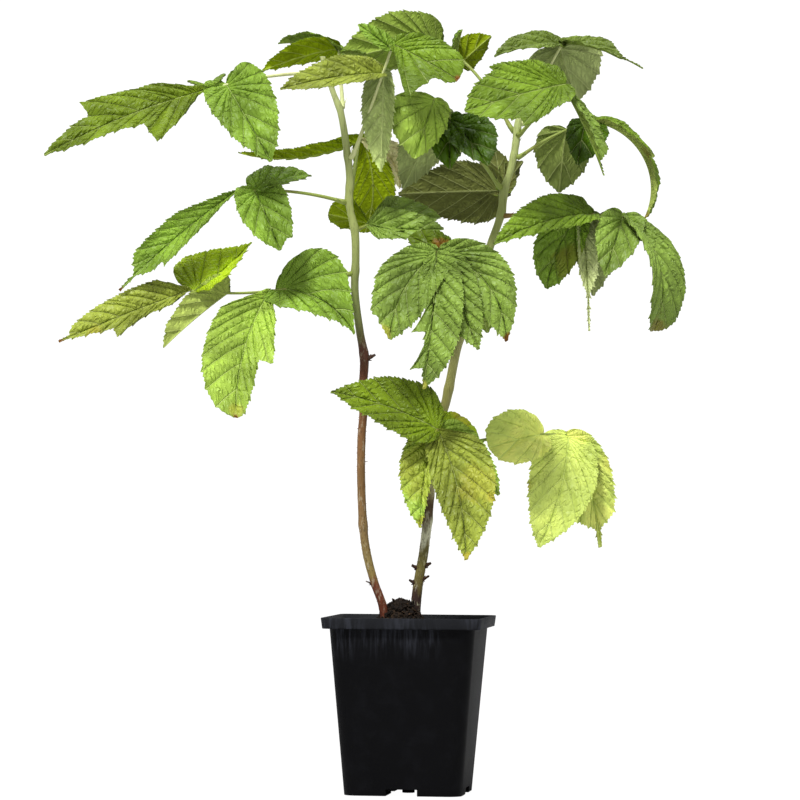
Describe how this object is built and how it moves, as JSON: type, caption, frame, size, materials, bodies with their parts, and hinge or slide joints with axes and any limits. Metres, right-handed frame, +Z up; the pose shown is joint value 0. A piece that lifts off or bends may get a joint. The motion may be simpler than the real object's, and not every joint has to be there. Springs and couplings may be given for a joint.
{
  "type": "potted raspberry shrub",
  "caption": "Young raspberry plant with upright canes and toothed compound leaves, standing in a square black nursery pot filled with dark compost.",
  "frame": {"origin": "centre of the pot's underside, on the plane the pot stands on", "axes": "+Z up along the plant, -Y towards its front, +X to the right of its front view"},
  "size_m": [0.5546, 0.2321, 0.6933],
  "materials": {
    "pot_plastic": "satin",
    "compost": "matte",
    "cane_bark": "matte",
    "leaf_green": "matte"
  },
  "bodies": {
    "root": {"pot": "pot_plastic", "soil": "compost", "cane_left": "cane_bark", "cane_right": "cane_bark", "leaf_left_top": "leaf_green", "leaf_left_crown": "leaf_green", "leaf_fork": "leaf_green", "leaf_left_mid": "leaf_green", "leaf_left_rear": "leaf_green", "leaf_left_node": "leaf_green", "leaf_left_low": "leaf_green", "leaf_top": "leaf_green", "leaf_mid": "leaf_green", "leaf_rear": "leaf_green", "leaf_right_top": "leaf_green", "leaf_right_front": "leaf_green", "leaf_right_mid": "leaf_green", "leaf_right_low": "leaf_green", "leaf_low_right": "leaf_green", "leaf_centre": "leaf_green", "leaf_back_low": "leaf_green", "leaf_back_top": "leaf_green", "leaf_low": "leaf_green"}
  },
  "joints": []
}
